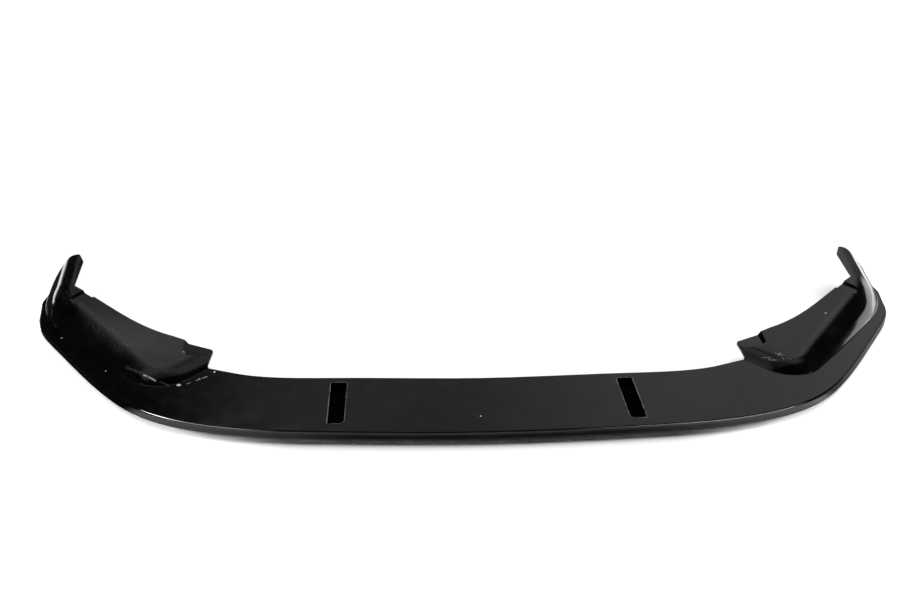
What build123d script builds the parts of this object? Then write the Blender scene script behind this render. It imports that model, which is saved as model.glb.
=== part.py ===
from build123d import *
from math import cos, radians, sin, tan
import os

# Sheet and blade. In plan, y runs rearward from the leading edge and insets run inward from the side.
half_width = 892.0
flank_y = 440.0
flank_flare = 8.5
sheet = 4.0
skirt_height = 18.0
skirt_arch = 5.0
arch_half_span = 600.0
edge_radius = 3.5
blade_depth = 170.0
front_sweep = 10.5
corner_points = ((372.0, 39.0), (252.0, 91.0), (168.0, 170.0), (53.0, 320.0), (6.0, 400.0))

# Blind pockets formed into the blade
pocket_x = 276.5
pocket_front = 35.0
pocket_width = 30.0
pocket_margin = 7.0
pocket_splay = 2.0
pocket_depth = 11.2
pocket_draft = 3.0
pocket_wall = 2.5
pocket_corner = 2.5
lip_radius = 1.2

# Raised corner pads
pad_rise = 14.0
pad_inset = 370.0
pad_origin_y = 254.0
pad_heading = 35.0
pad_slope = 4.6
pad_nose_inset = 277.0
pad_nose_y = 122.0
pad_nose_radius = 80.0
pad_front_heading = 47.0
pad_side_radius = 200.0
pad_flare = 4.0
pad_root = 40.0
pad_back = 235.0
band_rear = 6.5
wall_angle = 60.0
crown_radius = 66.0
crease_radius = 2.5

# Screw seats pressed into the pads
seat_depth = 5.0
seat_inset = 84.0
seat_y = 418.0
seat_radius = 16.5
seat_heading = 130.0
seat_run = 60.0
tab_inset = 313.0
tab_y = 241.0
tab_turn = 4.0
tab_radius = 12.0
tab_width = 110.0
tab_run = 90.0

# Trimmed outline behind the blade
notch_inset = 364.0
notch_y = 219.0
tab_tip_inset = 373.0
tab_tip_y = 263.0
flange_inset = 422.0
flange_step = 29.0
flange_sweep = 8.5
rear_points = ((148.0, 399.5), (216.0, 343.0), (292.0, 301.5))
fin_inset = 68.5
fin_root_y = 467.0
fin_inner_y = 563.0
fin_end = 591.0
fin_tip_step = 13.0
fin_tip_width = 20.0
fin_foot = 465.0
fin_foot_out = 4.5
fin_mid = 540.0
fin_mid_in = 13.0

reach = half_width + 200
rear = fin_end + 130
pocket_length = blade_depth - pocket_front - pocket_margin
flare = tan(radians(flank_flare))
climb = tan(radians(pad_slope))
pad_front_rate = tan(radians(pad_front_heading))
pad_side_rate = tan(radians(pad_flare))
pad_spread = pad_root / tan(radians(wall_angle))
climb_x = climb * cos(radians(pad_heading))
climb_y = climb * sin(radians(pad_heading))
os.makedirs("parts", exist_ok=True)


def pad_height(x, y):
    """Height of the pad plane above the blade."""
    return pad_rise + climb_x * (x - half_width + pad_inset) + climb_y * (y - pad_origin_y)


def flank_x(y, inset=0.0):
    """Side of the lip behind the corner, or a line inside it."""
    return half_width - inset + (y - flank_y) * flare


def on_pad(x, y):
    """Plan point carried up onto the pad plane, in that plane's own axes."""
    point = pad_plane.to_local_coords(Vector(x, y, pad_height(x, y)))
    return (point.X, point.Y)


def in_mouth(point):
    """Whether a point lies on the rim of the pocket."""
    along = point.Y - pocket_front - pocket_length / 2
    across = abs(point.X - pocket_x + along * tan(radians(pocket_splay))) <= pocket_width / 2 + 1
    return across and abs(along) <= pocket_length / 2 + 1


# Plan of the right half, carried past the middle and past the rear so that the trim decides both
with BuildSketch() as blade_plan:
    with BuildLine():
        leading = Spline(
            (0, 0),
            (half_width / 3, front_sweep),
            *[(half_width - inset, y) for inset, y in corner_points],
            (half_width, flank_y),
            tangents=((1, 0), (flare, 1)),
        )
        flank_end = (flank_x(rear), rear)
        Polyline((half_width, flank_y), flank_end, (-60, rear), (-60, 0), (0, 0))
    make_face()

# The same plan inside the skirt
with BuildSketch() as inside_plan:
    with BuildLine():
        stations = [step / 12 for step in range(13)]
        inner = [leading @ u + (leading % u).rotate(Axis.Z, 90) * sheet for u in stations]
        Spline(*inner, tangents=((1, 0), (flare, 1)))
        inner_end = (inner[-1].X + (rear - inner[-1].Y) * flare, rear)
        Polyline(inner[-1], inner_end, (-60, rear), (-60, sheet), inner[0])
    make_face()

# Pad block: a tapered prism rooted below the blade, sliced along the pad plane, rolled over and cut level
nose_x = half_width - pad_nose_inset
nose_y = pad_nose_y
side_run = half_width - band_rear - nose_x + (nose_y - flank_y) * pad_side_rate
side_x = nose_x + side_run / (1 - pad_front_rate * pad_side_rate)
side_y = nose_y + (side_x - nose_x) * pad_front_rate
pad_rear = rear - 20
pad_top = pad_height(half_width, rear) + 2
pad_plane = Plane((0, 0, pad_height(0, 0)), x_dir=(1, 0, climb_x), z_dir=(-climb_x, -climb_y, 1))
with BuildPart() as pad:
    with BuildSketch(Plane.XY.offset(-pad_root)) as pad_base:
        with BuildLine():
            Polyline(
                (nose_x - pad_back, nose_y + pad_back),
                (nose_x, nose_y),
                (side_x, side_y),
                (side_x + (pad_rear - side_y) * pad_side_rate, pad_rear),
                (nose_x - pad_back, pad_rear),
                close=True,
            )
        make_face()
        offset(amount=pad_spread, kind=Kind.INTERSECTION)
        corners = pad_base.vertices()
        nose_corner = corners.sort_by_distance((nose_x, nose_y, -pad_root))[0]
        side_corner = corners.sort_by_distance((side_x, side_y, -pad_root))[0]
        fillet(nose_corner, pad_nose_radius + pad_spread)
        side_corner = pad_base.vertices().sort_by_distance(side_corner)[0]
        fillet(side_corner, pad_side_radius + pad_spread)
    extrude(amount=pad_root + pad_top, taper=90 - wall_angle)
    with BuildSketch(pad_plane):
        Rectangle(4 * reach, 4 * reach)
    extrude(amount=reach, mode=Mode.SUBTRACT)
    roof_edges = pad.faces().sort_by(Axis.Z)[-1].edges()
    crown = [edge for edge in roof_edges if edge.center().X > nose_x - 165 and edge.center().Y < rear - 100]
    fillet(crown, crown_radius)
    split(bisect_by=Plane.XY, keep=Keep.TOP)

# Show face as a block: the blade, the pads on it and the seats pressed into the pads
with BuildPart() as show_face:
    with BuildSketch(Plane.XY.offset(-skirt_height)):
        add(blade_plan.sketch)
    extrude(amount=skirt_height)
    top_edges = show_face.faces().sort_by(Axis.Z)[-1].edges()
    fillet([edge for edge in top_edges if edge.center().X > 100 and edge.center().Y < rear - 1], edge_radius)
    add(pad.part)
    level = show_face.edges().filter_by_position(Axis.Z, -0.001, 0.001)
    pad_foot = [edge for edge in level if edge.center().Y > nose_y + 20 and edge.center().X > nose_x - 130]
    fillet([edge for edge in pad_foot if edge.center().X < flank_x(edge.center().Y, 5)], crease_radius)
    with BuildSketch(pad_plane.offset(-seat_depth)):
        with Locations(Location((*on_pad(half_width - seat_inset, seat_y), 0), seat_heading)):
            Circle(seat_radius - seat_depth)
            Rectangle(seat_run, 2 * (seat_radius - seat_depth), align=(Align.MIN, Align.CENTER))
    extrude(amount=2 * seat_depth, taper=-45, mode=Mode.SUBTRACT)
    tab_corner = (half_width - tab_inset, tab_y, pad_height(half_width - tab_inset, tab_y) - seat_depth)
    with BuildSketch(Plane.XY.offset(tab_corner[2])) as tab_floor:
        with Locations(Location((*tab_corner[:2], 0), tab_turn)):
            with Locations((-seat_depth, seat_depth)):
                Rectangle(tab_width, tab_run, align=(Align.MAX, Align.MIN))
        fillet(tab_floor.vertices().sort_by_distance(tab_corner)[0], tab_radius)
    extrude(amount=30, taper=-45, mode=Mode.SUBTRACT)

# Space under the sheet: the show face let down by one thickness, inside the skirt and round the pocket walls
with BuildPart() as underside:
    add(show_face.part.moved(Location((0, 0, -sheet))))
    with BuildSketch(Plane.XY.offset(-reach)):
        add(inside_plan.sketch)
    extrude(amount=2 * reach, mode=Mode.INTERSECT)
    with BuildSketch(Plane.XY.offset(-pocket_depth - pocket_wall)):
        with Locations(Location((pocket_x, pocket_front + pocket_length / 2), pocket_splay)):
            collar = (pocket_width + 2 * pocket_wall, pocket_length + 2 * pocket_wall)
            RectangleRounded(*collar, 2 * pocket_corner)
    extrude(amount=reach, mode=Mode.SUBTRACT)

with BuildPart() as pocket:
    with BuildSketch() as mouth:
        with Locations(Location((pocket_x, pocket_front + pocket_length / 2), pocket_splay)):
            Rectangle(pocket_width, pocket_length)
        fillet(mouth.vertices().sort_by_distance((0, 0, 0))[1:], pocket_corner)
        fillet(mouth.vertices().sort_by_distance((0, 0, 0))[0], 4 * pocket_corner)
    extrude(amount=-pocket_depth, taper=pocket_draft)

# Trimmed outline of the right half
with BuildSketch() as trim:
    with BuildLine():
        outside = half_width + 60
        fin_root = (half_width - fin_inset, fin_root_y)
        fin_inner = (half_width - fin_inset, fin_inner_y)
        tip_inner = (half_width - fin_inset + fin_tip_step, fin_end)
        tip_outer = (tip_inner[0] + fin_tip_width, fin_end)
        pad_edge = [(half_width - inset, y) for inset, y in rear_points]
        tab_tip = (half_width - tab_tip_inset, tab_tip_y)
        notch = (half_width - notch_inset, notch_y)
        flange = (half_width - flange_inset, blade_depth + flange_step)
        flange_middle = (half_width * 0.3, blade_depth + flange_sweep)
        foot_start = (half_width + fin_foot_out, fin_foot)
        Polyline((0, -60), (outside, -60), (outside, fin_foot), foot_start)
        ThreePointArc(foot_start, (half_width - fin_mid_in, fin_mid), tip_outer)
        Polyline(tip_outer, tip_inner, fin_inner, fin_root)
        Spline(fin_root, *pad_edge)
        Polyline(pad_edge[-1], tab_tip, notch, flange)
        Spline(flange, flange_middle, (0, blade_depth), tangents=((-58, -20), (-1, 0)))
        Line((0, blade_depth), (0, -60))
    make_face()
    for corner, radius in ((tip_outer, 10), (tip_inner, 8), (fin_root, 6), (tab_tip, 10), (notch, 6)):
        fillet(trim.vertices().sort_by_distance((*corner, 0))[0], radius)

with BuildPart() as half_lip:
    add(show_face.part)
    add(underside.part, mode=Mode.SUBTRACT)
    add(pocket.part, mode=Mode.SUBTRACT)
    with BuildSketch(Plane.XY.offset(-reach)):
        add(trim.sketch)
    extrude(amount=2 * reach, mode=Mode.INTERSECT)
    with BuildSketch(Plane.XZ.offset(-reach)):
        with BuildLine():
            arch_crown = (0, skirt_arch - skirt_height)
            ThreePointArc((-arch_half_span, -skirt_height), arch_crown, (arch_half_span, -skirt_height))
            Line((arch_half_span, -skirt_height), (-arch_half_span, -skirt_height))
        make_face()
    extrude(amount=2 * reach, mode=Mode.SUBTRACT)
    level = half_lip.edges().filter_by_position(Axis.Z, -0.001, 0.001)
    fillet([edge for edge in level if in_mouth(edge.center())], lip_radius)

# Both halves, set down with the middle of the footprint at the origin and the skirt on the floor
box = half_lip.part.bounding_box()
with BuildPart() as splitter_lip:
    add(half_lip.part.moved(Location((0, -box.center().Y, -box.min.Z))))
    mirror(about=Plane.YZ)

splitter_lip.part.label = "splitter_lip"
export_step(splitter_lip.part, "parts/splitter_lip.step")
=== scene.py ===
import math
from functools import reduce

import bpy
import numpy as np
from mathutils import Matrix, Vector

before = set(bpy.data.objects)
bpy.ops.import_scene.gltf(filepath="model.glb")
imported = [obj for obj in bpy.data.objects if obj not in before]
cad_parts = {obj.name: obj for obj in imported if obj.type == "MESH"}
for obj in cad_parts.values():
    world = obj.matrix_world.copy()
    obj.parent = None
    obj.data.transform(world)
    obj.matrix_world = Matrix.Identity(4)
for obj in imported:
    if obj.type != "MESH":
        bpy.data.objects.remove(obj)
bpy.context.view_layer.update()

# In the lists below a soft limit is a pair, where it starts and where it ends, and a third number is what is left
# after a fall. A range is its two limits and the softness outside them.

# The level of the blade and the two pockets in the part's frame, in metres
blade_top = 0.018
pocket_x = 0.2765
pocket_y = -0.1965
pocket_half_width = 0.015
pocket_half_length = 0.064
pocket_splay = math.radians(2.0)
pocket_corner = 0.0025
pocket_wide_corner = 0.010
pocket_middle = (-0.001, 0.001)
pocket_inside = (0.0001, 0.0006)
pocket_rim = (0.0006, 0.0022)

# Soft limits of height over the blade's top, in metres
over_blade = (0.001, 0.003)
over_pad_foot = (0.004, 0.012)
under_rim = (-0.0035, -0.001)
up_to_rim = (-0.0025, -0.0005)

# Soft limits of how a face leans, by the upward part of its normal, or the rearward part for the last
leans_under = (-0.3, -0.15)
stands_upright = (0.15, 0.3)
leans_up = (0.3, 0.5)
lies_flat = (0.8, 0.95)
faces_back = (0.3, 0.5)

# Bright nicks and painted highlights seen in plan: place, radius and strength
wear_and_highlight_spots = (
    ((-0.827, 0.039), 0.0024, 1.0),
    ((-0.7195, -0.080), 0.0020, 0.5),
    ((-0.575, -0.131), 0.0048, 1.0),
    ((-0.513, -0.0896), 0.0030, 0.9),
    ((-0.0134, -0.2475), 0.0022, 1.0),
    ((0.726, 0.0415), 0.0024, 0.6),
)
mark_spot_core = 0.4

# Scuffs and painted highlight streaks seen in plan: both ends, half width and strength
wear_and_highlight_strokes = (
    ((-0.682, -0.082), (-0.642, -0.112), 0.0040, 0.05),
    ((-0.643, -0.112), (-0.616, -0.127), 0.0022, 1.00),
    ((-0.612, -0.127), (-0.592, -0.133), 0.0016, 0.25),
    ((-0.562, -0.129), (-0.553, -0.123), 0.0014, 0.25),
    ((-0.546, -0.119), (-0.538, -0.113), 0.0014, 0.50),
    ((-0.541, -0.109), (-0.536, -0.115), 0.0012, 0.40),
    ((-0.535, -0.111), (-0.524, -0.104), 0.0013, 0.55),
    ((0.556, -0.086), (0.574, -0.094), 0.0012, 0.30),
    ((0.567, -0.096), (0.583, -0.102), 0.0014, 0.35),
    ((0.584, -0.080), (0.598, -0.090), 0.0011, 0.30),
    ((0.588, -0.091), (0.597, -0.079), 0.0010, 0.25),
    ((0.592, -0.084), (0.602, -0.088), 0.0010, 0.25),
    ((0.594, -0.094), (0.598, -0.104), 0.0010, 0.25),
    ((0.602, -0.099), (0.612, -0.104), 0.0012, 0.20),
)
mark_stroke_core = 0.3
mark_stroke_end = 0.002

# Random patterns over the sheet: cells in a metre and detail, then the soft limit that picks out the patches
wear_and_highlight_flecks = ((300.0, 5.0), (0.3, 0.55))
rim_highlight_patches = ((60.0, 3.0), (0.3, 0.6))
film_grain = ((330.0, 4.0), (0.42, 0.75))
film_patches = ((14.0, 4.0), (0.35, 0.65))
scuff_grain = ((330.0, 4.0), (0.4, 0.7))
dust_grain = ((900.0, 1.0), (0.735, 0.78))
dust_patches = ((6.0, 3.0), (0.45, 0.7))
cloud_patches = ((40.0, 4.0), (0.45, 0.75))
broad_haze, fine_haze = (4.0, 4.0), (30.0, 3.0)

# Relief of the face: cells in a metre and detail, then the depth in metres
ripple, ripple_depth = (7.0, 1.5), 0.0012
orange_peel, orange_peel_depth = (150.0, 3.0), 0.000018
saw_marks, saw_mark_depth = (700.0, 2.0), 0.0002

# Where the film and the scuffed part of the pads lie
film_on_blade = 0.3
scuff_base = 0.4
scuff_front, scuff_rear = (-0.075, -0.02), (0.03, 0.09)
scuff_left = (-0.4, -0.3, 0.25)
dull_pad_left = (-0.4, -0.3, 0.3)

# Shades of grey in the sheet's finish, in the painted highlights on it and in the painted shade of the pocket
# floors, as shares of white
bare_shade = 0.0005
# The nicks and scuffs below are partly real marks and partly painted highlights
worn_and_highlight_shade = 0.75
# The rim shade is a painted highlight along the pocket rims
rim_highlight_shade = 0.15
sawn_shade = 0.03
underside_shade = 0.004
dust_shade = 0.05
film_shade = 0.010
scuff_shade = 0.012
cloud_shade = 0.003
blue_cast = 1.03
# Painted shade: the pocket floors are black, matt and unreflecting, standing in for the shade deep in the pockets
pocket_painted_shade = (0.001, 0.001, 0.001, 1)

# Roughness of the polished face, what each finish adds to it, and that of the pocket floors
polished = 0.03
haze_roughness = 0.16
sawn_roughness = 0.45
underside_roughness = 0.25
worn_and_highlight_roughness = 0.3
film_roughness = 0.1
pad_roughness = 0.1
pocket_roughness = 0.8
sheet_ior = 1.5

# The studio in the gloss. Levels are shares of white. Bearings run from straight behind the part, positive to the
# right, and heights up from the floor, both in degrees.
wall_steps = ((0.26, (-14, -2.5)), (0.25, (3.5, 18)), (0.1, (23, 26.5)))
wall_right_end, wall_top = (28, 44), (45, 59)
left_panel_level, left_panel_start, left_panel_end = 0.76, (-42, -9), (-7.5, -3)
right_panel_level, right_panel_start, right_panel_end = 0.1, (18, 27), (33, 46)
panel_foot = (36.3, 39.5)
blotches, blotch_base, blotch_swing = (90.0, 4.0), 0.7, 0.6
ceiling_level, ceiling_start, ceiling_dimming = 0.5, (51, 60), (62, 78, 0.25)
ceiling_right_end, ceiling_front_end = (48, 70, 0.05), (90, 120, 0.06)
front_wall_level, front_wall_start, front_wall_heights = 0.28, (95, 130), (10, 40, 6)
end_lamp_level, end_lamp_bearings = 50.0, (112, 150, 14)
left_lamp_level, left_lamp_bearings = 180.0, (-120, -106, 8)
lamp_heights = (36, 40, 1)
right_window_level, right_window_start, right_window_end = 2.3, (40, 46), (79, 81)
right_window_top, right_window_slant, right_window_bend = (17, 19.5), 2.1, 75
left_window_level, left_window_bearings, left_window_heights = 4.5, (-50, -36, 2.5), (2.5, 7.5, 2)
left_door_level, left_door_bearings, left_door_heights = 0.4, (-24, -20, 1.8), (29, 34, 2)
side_level, side_lift, side_start, side_top = 0.01, 0.025, (50, 85), (40, 55)
fill_level = 0.025

# The floor: places in metres, levels as shares of white
floor_reach = 30.0
paper_tone = 0.8
# Painted shade: in the gloss the floor beside each end is darkened, for the shade there
left_painted_shade, left_painted_shade_depth = (-9.0, -0.68, 0.04), 0.985
right_painted_shade, right_painted_shade_depth = (0.69, 0.97, 0.04), 0.85
# Painted light: in the gloss the floor far to the right is brighter than white
far_right, far_right_painted_light = (1.0, 1.4), 1.6
edge_front, edge_bow = 0.2955, 0.117
edge_turn, edge_turn_at, edge_turn_power = 0.44, 0.9, 6.5
corner_slack, corner_slack_start = 0.02, (0.66, 0.78)
corner_squeeze, corner_squeeze_start = 2, (0.5, 0.65)
corner_glow_level, corner_glow_start, corner_glow_gap = 0.65, (0.33, 0.55), (-0.002, 0.022)
# Painted glow: the floor glows in the gloss, weakly in the middle and more toward both ends
painted_glow_middle, painted_glow_gain, painted_glow_start = 0.1, 0.9, (0.2, 0.6)

# The back lights: spread and height in degrees
back_light_spread = 28
back_light_height = 34

# The camera: film in millimetres, reach and place in metres, angles in radians, the rest in pixels of the picture
film_width = 36.0
focal_pixels, picture_pixels = 1200, 920
camera_reach = 100.0
camera_place = (-0.2028, -2.0139, 1.33488)
camera_yaw, camera_pitch, camera_roll = 0.08215, 0.54755, -0.02931


class Signal:
    """One output socket of a shader tree. Arithmetic on it adds Math nodes."""

    def __init__(self, tree, socket):
        self.tree = tree
        self.socket = socket

    def node(self, kind, settings=None, sockets=None, output=0):
        """Adds a node of any kind: its settings first, then the values or links of its sockets."""
        made = self.tree.nodes.new(kind)
        for name, value in (settings or {}).items():
            setattr(made, name, value)
        for name, value in (sockets or {}).items():
            if isinstance(value, Signal):
                self.tree.links.new(value.socket, made.inputs[name])
            else:
                made.inputs[name].default_value = value
        return Signal(self.tree, made.outputs[output])

    def math(self, operation, *terms):
        """One Math node on these terms."""
        return self.node("ShaderNodeMath", {"operation": operation}, dict(enumerate(terms)))

    def __add__(self, other):
        return self.math("ADD", self, other)

    def __radd__(self, other):
        return self.math("ADD", other, self)

    def __sub__(self, other):
        return self.math("SUBTRACT", self, other)

    def __rsub__(self, other):
        return self.math("SUBTRACT", other, self)

    def __mul__(self, other):
        return self.math("MULTIPLY", self, other)

    def __rmul__(self, other):
        return self.math("MULTIPLY", other, self)

    def larger(self, other):
        """The larger of two values."""
        return self.math("MAXIMUM", self, other)

    def smaller(self, other):
        """The smaller of two values."""
        return self.math("MINIMUM", self, other)

    def size(self):
        """The value without its sign."""
        return self.math("ABSOLUTE", self)

    def length(self, other):
        """Length of the long side of a right triangle with these two short sides."""
        return self.math("SQRT", self * self + other * other)

    def ease(self, start, end, low=0.0, high=1.0):
        """Smooth step from low at start to high at end, flat outside."""
        limits = {"Value": self, "From Min": start, "From Max": end, "To Min": low, "To Max": high}
        return self.node("ShaderNodeMapRange", {"interpolation_type": "SMOOTHSTEP"}, limits)

    def fade(self, start, end, left=0.0):
        """Smooth fall from one at start to what is left at end, flat outside."""
        return self.ease(start, end, 1.0, left)

    def within(self, low, high, soft):
        """One between two limits, with a soft rise before the first and a soft fall after the second."""
        return self.ease(low - soft, low) * self.fade(high, high + soft)

    def xyz(self):
        """The three numbers of a vector."""
        return [self.node("ShaderNodeSeparateXYZ", {}, {0: self}, axis) for axis in range(3)]

    def grey(self, blue=1.0):
        """A grey of this level, with its blue part times a factor."""
        return self.node("ShaderNodeCombineXYZ", {}, {0: self, 1: self, 2: self * blue})

    def noise(self, scale, detail):
        """Soft random pattern over a vector, about one half on average."""
        sockets = {"Vector": self, "Scale": scale, "Detail": detail}
        return self.node("ShaderNodeTexNoise", {}, sockets, "Fac")

    def patches(self, pattern, limit):
        """Soft random patches over a vector: a random pattern carried through a smooth step."""
        return self.noise(*pattern).ease(*limit)


def fresh_tree(owner):
    """Clears an owner's node tree and returns its output node and a first signal to grow from."""
    owner.use_nodes = True
    tree = owner.node_tree
    tree.nodes.clear()
    is_world = isinstance(owner, bpy.types.World)
    output = tree.nodes.new("ShaderNodeOutputWorld" if is_world else "ShaderNodeOutputMaterial")
    return output, Signal(tree, None)


def ray_kinds(start):
    """Three signals that are one for rays from the camera, off a shiny face and through a clear one."""
    outs = start.node("ShaderNodeLightPath").socket.node.outputs
    kinds = ("Is Camera Ray", "Is Glossy Ray", "Is Transmission Ray")
    return [Signal(start.tree, outs[kind]) for kind in kinds]


def back_wall(aim, bearing, height):
    """The grey wall behind: a sum of smooth steps up to the right, dying away past its right end.

    A pale panel on the left and a dull one on the right stand above it, each a soft rise times a soft fall.
    The whole is cut off at the wall's soft top and multiplied by a blotchy random pattern.
    """
    wall = sum(level * bearing.ease(*step) for level, step in wall_steps) * bearing.fade(*wall_right_end)
    left_panel = left_panel_level * bearing.ease(*left_panel_start) * bearing.fade(*left_panel_end)
    right_panel = right_panel_level * bearing.ease(*right_panel_start) * bearing.fade(*right_panel_end)
    panels = (left_panel + right_panel) * height.ease(*panel_foot)
    blotchy = blotch_base + blotch_swing * aim.noise(*blotches)
    return (wall + panels) * height.fade(*wall_top) * blotchy


def dim_ceiling(bearing, height):
    """The ceiling: a smooth step up in height, times falls toward overhead, to the right and to the front."""
    overhead = ceiling_level * height.ease(*ceiling_start) * height.fade(*ceiling_dimming)
    return overhead * bearing.fade(*ceiling_right_end) * bearing.size().fade(*ceiling_front_end)


def front_wall_and_lamps(bearing, height):
    """A dull wall behind the camera, and in it a narrow lamp high at each end and a brighter one on the left.

    Each is a soft-edged patch: its level times a range of bearings times a range of heights.
    In the main view only the rounded leading edge mirrors the lamps.
    """
    flank = bearing.size()
    wall = front_wall_level * flank.ease(*front_wall_start) * height.within(*front_wall_heights)
    end_lamps = end_lamp_level * flank.within(*end_lamp_bearings)
    left_lamp = left_lamp_level * bearing.within(*left_lamp_bearings)
    return wall + (end_lamps + left_lamp) * height.within(*lamp_heights)


def side_windows(bearing, height):
    """A tall window on the right, a low one on the left, and a faint narrow door to the left of the middle.

    Each is a level times a range of bearings times a range of heights. The right window's top edge slants down
    past a bend: there the height is counted higher, at a fixed rate for each degree of bearing beyond the bend.
    """
    slanted = height + right_window_slant * (bearing - right_window_bend).larger(0.0)
    right_window = right_window_level * bearing.ease(*right_window_start) * bearing.fade(*right_window_end)
    right_window = right_window * slanted.fade(*right_window_top)
    left_window = left_window_level * bearing.within(*left_window_bearings)
    left_window = left_window * height.within(*left_window_heights)
    left_door = left_door_level * bearing.within(*left_door_bearings) * height.within(*left_door_heights)
    return right_window + left_window + left_door


def studio_world():
    """What the shiny face mirrors, by bearing from straight behind the part and height above the floor.

    Dim sides, the back wall, the ceiling, the front wall with its lamps and the side windows are added up.
    Rays from the camera and through clear faces see white, and all other light is a weak even fill.
    """
    world = bpy.data.worlds.new("studio")
    bpy.context.scene.world = world
    output, start = fresh_tree(world)
    aim = start.node("ShaderNodeTexCoord", {}, {}, "Generated")
    across, away, up = aim.xyz()
    bearing = across.math("ARCTAN2", across, away) * math.degrees(1)
    height = up.math("ARCSINE", up) * math.degrees(1)
    sides = side_level + side_lift * bearing.size().ease(*side_start) * height.fade(*side_top)
    mirrored = sides + back_wall(aim, bearing, height) + dim_ceiling(bearing, height)
    mirrored = mirrored + front_wall_and_lamps(bearing, height) + side_windows(bearing, height)
    camera, glossy, clear = ray_kinds(start)
    level = camera + clear + glossy * mirrored + (1 - camera - clear - glossy) * fill_level
    lit = start.node("ShaderNodeBackground", {}, {"Color": level.grey(), "Strength": 1.0})
    lit.tree.links.new(lit.socket, output.inputs["Surface"])


def corner_glow(x, y):
    """Glow of the paper beside both ends, beyond a thin shadow that follows the leading edge.

    In plan the edge is a square of the distance from the middle, plus a high power of it that turns the corner.
    The glow is a smooth step in that distance times a smooth step in the gap in front of the edge, and the gap is
    stretched toward the ends, so that the shadow is thin there.
    """
    aside = x.size()
    turn = aside.math("POWER", aside * (1 / edge_turn_at), edge_turn_power)
    leading_edge = edge_bow * aside * aside + edge_turn * turn - edge_front
    gap = leading_edge - y + corner_slack * aside.ease(*corner_slack_start)
    gap = gap * (1 + corner_squeeze * aside.ease(*corner_squeeze_start))
    return corner_glow_level * aside.ease(*corner_glow_start) * gap.ease(*corner_glow_gap)


def studio_floor():
    """A plain pale floor, a square far wider than the view, white to the camera and a little duller to other light.

    In the shiny face it shows painted shade, a black band beside each end, and painted light far to the right: one,
    less a range for each band, plus a smooth step. It also glows there with a painted glow, the bands' level times
    a smooth step toward both ends.
    """
    corners = floor_reach * np.array([(-1, -1, 0), (1, -1, 0), (1, 1, 0), (-1, 1, 0)])
    mesh = bpy.data.meshes.new("floor")
    mesh.from_pydata(corners.tolist(), [], [(0, 1, 2, 3)])
    floor = bpy.data.objects.new("floor", mesh)
    bpy.context.scene.collection.objects.link(floor)
    paper = bpy.data.materials.new("floor_paper")
    output, start = fresh_tree(paper)
    camera, glossy, clear = ray_kinds(start)
    x, y = start.node("ShaderNodeTexCoord", {}, {}, "Object").xyz()[:2]
    # Painted shade: the floor seen in the gloss is darkened beside each end
    painted_shade_in_gloss = 1 - left_painted_shade_depth * x.within(*left_painted_shade) - right_painted_shade_depth * x.within(*right_painted_shade)
    # Painted light: the floor seen in the gloss grows brighter far to the right
    mirrored = painted_shade_in_gloss + far_right_painted_light * x.ease(*far_right)
    # Painted glow: the floor glows for glossy rays, more toward both ends
    painted_glow_in_gloss = (painted_glow_middle + painted_glow_gain * x.size().ease(*painted_glow_start)) * painted_shade_in_gloss
    tone = paper_tone + (1 - paper_tone) * (camera + clear) + glossy * (mirrored - paper_tone)
    glow = corner_glow(x, y) * camera + painted_glow_in_gloss * glossy
    sockets = {"Base Color": tone.grey(), "Specular IOR Level": 0.0}
    sockets |= {"Emission Color": glow.grey(), "Emission Strength": 1.0}
    matt = start.node("ShaderNodeBsdfPrincipled", {}, sockets)
    matt.tree.links.new(matt.socket, output.inputs["Surface"])
    mesh.materials.append(paper)


def pointing(bearing, height):
    """Unit vector by bearing from +Y toward +X and height above level, from the sines and cosines of the two."""
    reach = math.cos(height)
    return Vector((math.sin(bearing) * reach, math.cos(bearing) * reach, math.sin(height)))


def back_light(name, bearing, energy):
    """A broad light behind the part, by bearing in degrees, so that the shadow falls forward."""
    broad = bpy.data.lights.new(name, "SUN")
    broad.energy = energy
    broad.angle = math.radians(back_light_spread)
    lamp = bpy.data.objects.new(name, broad)
    source = pointing(math.radians(bearing), math.radians(back_light_height))
    lamp.rotation_euler = source.to_track_quat("Z", "Y").to_euler()
    lamp.visible_glossy = False
    bpy.context.scene.collection.objects.link(lamp)


def speck(x, y, at, radius):
    """One inside a round spot seen in plan, fading to zero at its radius."""
    away = (x - at[0]).length(y - at[1])
    return away.fade(mark_spot_core * radius, radius)


def stroke(x, y, start, end, width):
    """One along a thin straight stroke seen in plan, fading over its width and at both ends."""
    run = Vector(end) - Vector(start)
    heading = run.normalized()
    east, north = x - start[0], y - start[1]
    along = east * heading.x + north * heading.y
    off = (north * heading.x - east * heading.y).size()
    ends = along.within(mark_stroke_end, run.length - mark_stroke_end, mark_stroke_end)
    return off.fade(mark_stroke_core * width, width) * ends


def wear_and_highlight(x, y):
    """The strongest of all the nicks, scuffs and painted highlights at a point seen in plan."""
    marks = [speck(x, y, at, radius) * strength for at, radius, strength in wear_and_highlight_spots]
    marks += [stroke(x, y, first, last, width) * strength for first, last, width, strength in wear_and_highlight_strokes]
    return reduce(Signal.larger, marks)


def pocket_gap(x, y):
    """How far a point lies outside the nearer pocket's rim, in plan.

    It is the distance to a rectangle with rounded corners, below zero inside. The inner front corner is rounder.
    """
    along = y - pocket_y
    across = x.size() - pocket_x + along * math.tan(pocket_splay)
    inner_front = across.fade(*pocket_middle) * along.fade(*pocket_middle)
    corner = pocket_corner + (pocket_wide_corner - pocket_corner) * inner_front
    side = across.size() - pocket_half_width + corner
    end = along.size() - pocket_half_length + corner
    return side.larger(0.0).length(end.larger(0.0)) + side.larger(end).smaller(0.0) - corner


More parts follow.
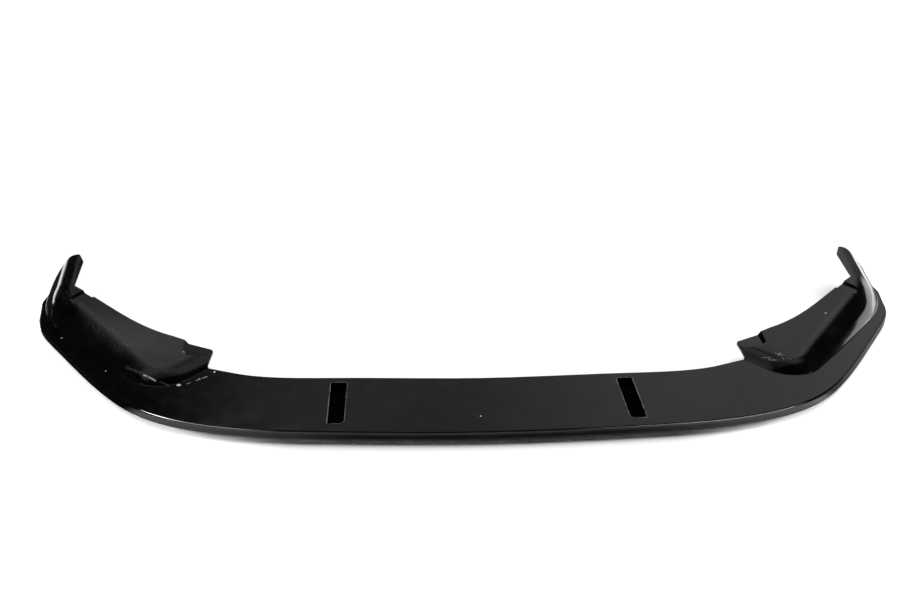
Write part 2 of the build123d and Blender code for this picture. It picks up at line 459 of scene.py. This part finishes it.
def gloss_black_sheet():
    """Gloss-black formed sheet with a duller underside, matt sawn edges and a few nicks and scuffs.
    It carries painted highlights along the pocket rims and in some scuffs, and painted shade in the black, matt,
    unreflecting pocket floors.

    Grey and roughness are sums: each finish's or painted highlight's share times the mask of where it lies. The
    relief is the sum of a slow ripple, a fine orange peel and saw marks. The polish is hazier where two soft
    patterns meet.
    """
    finish = bpy.data.materials.new("gloss_black_abs")
    output, start = fresh_tree(finish)
    place = start.node("ShaderNodeTexCoord", {}, {}, "Object")
    x, y, z = place.xyz()
    rise = z - blade_top
    back, up = start.node("ShaderNodeTexCoord", {}, {}, "Normal").xyz()[1:]

    underside = up.fade(*leans_under)
    sawn = up.size().fade(*stands_upright) * rise.ease(*over_blade).larger(back.ease(*faces_back))
    gap = pocket_gap(x, y)
    # Painted shade: inside each pocket the sheet gives way to an unreflecting black, for the shade deep in the
    # pocket
    in_pocket = gap.fade(*pocket_inside) * rise.fade(*under_rim)
    # Painted highlight: a thin lighter line along each pocket's rim, broken into patches
    rim = gap.size().fade(*pocket_rim) * rise.ease(*up_to_rim) * place.patches(*rim_highlight_patches)
    # Nicks and scuffs: partly real marks and partly painted highlights, the brightest along the left pad's crease
    worn_and_highlight = wear_and_highlight(x, y) * place.patches(*wear_and_highlight_flecks) * up.ease(*leans_up)
    pad = rise.ease(*over_pad_foot) * up.ease(*lies_flat)
    film = place.patches(*film_grain) * place.patches(*film_patches)
    film = film * (film_on_blade + (1 - film_on_blade) * pad)
    scuffed = pad * y.ease(*scuff_front) * y.fade(*scuff_rear) * x.fade(*scuff_left)
    scuffed = scuffed * (scuff_base + place.patches(*scuff_grain))
    dust = place.patches(*dust_grain) * place.patches(*dust_patches)
    haze = place.noise(*broad_haze) * place.noise(*fine_haze)
    cloud = place.patches(*cloud_patches)

    grey = bare_shade + worn_and_highlight_shade * worn_and_highlight + rim_highlight_shade * rim + sawn_shade * sawn + underside_shade * underside
    grey = grey + dust_shade * dust + film_shade * film + scuff_shade * scuffed + cloud_shade * cloud
    roughness = polished + haze_roughness * haze + sawn_roughness * sawn + underside_roughness * underside
    roughness = roughness + worn_and_highlight_roughness * worn_and_highlight + film_roughness * film
    roughness = roughness + pad_roughness * pad * x.fade(*dull_pad_left)
    relief = place.noise(*ripple) * ripple_depth + place.noise(*orange_peel) * orange_peel_depth
    relief = relief + place.noise(*saw_marks) * sawn * saw_mark_depth
    bump = start.node("ShaderNodeBump", {}, {"Height": relief, "Strength": 1.0, "Distance": 1.0})

    sockets = {"Base Color": grey.grey(blue_cast), "Roughness": roughness, "IOR": sheet_ior, "Normal": bump}
    gloss = start.node("ShaderNodeBsdfPrincipled", {}, sockets)
    sockets = {"Base Color": pocket_painted_shade, "Roughness": pocket_roughness, "Specular IOR Level": 0.0, "Normal": bump}
    pocket = start.node("ShaderNodeBsdfPrincipled", {}, sockets)
    shell = start.node("ShaderNodeMixShader", {}, {0: in_pocket, 1: gloss, 2: pocket})
    shell.tree.links.new(shell.socket, output.inputs["Surface"])
    return finish


def studio_camera():
    """A camera at the picture's place, turned by its yaw, pitched down, then rolled about its own line of sight."""
    lens = bpy.data.cameras.new("view")
    lens.sensor_width = film_width
    lens.lens = film_width * focal_pixels / picture_pixels
    lens.clip_end = camera_reach
    eye = bpy.data.objects.new("view", lens)
    forward = pointing(camera_yaw, -camera_pitch)
    level = Vector((math.cos(camera_yaw), -math.sin(camera_yaw), 0))
    down = forward.cross(level)
    right = math.cos(camera_roll) * level + math.sin(camera_roll) * down
    up = math.sin(camera_roll) * level - math.cos(camera_roll) * down
    turn = Matrix((right, up, -forward)).transposed().to_4x4()
    eye.matrix_world = Matrix.Translation(camera_place) @ turn
    bpy.context.scene.collection.objects.link(eye)
    bpy.context.scene.camera = eye


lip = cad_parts["splitter_lip"]
lip.data.materials.clear()
lip.data.materials.append(gloss_black_sheet())
studio_world()
studio_floor()
back_light("back_light_right", 32, 3.2)
back_light("back_light_left", -28, 2.5)
studio_camera()
bpy.context.scene.view_settings.view_transform = "Standard"
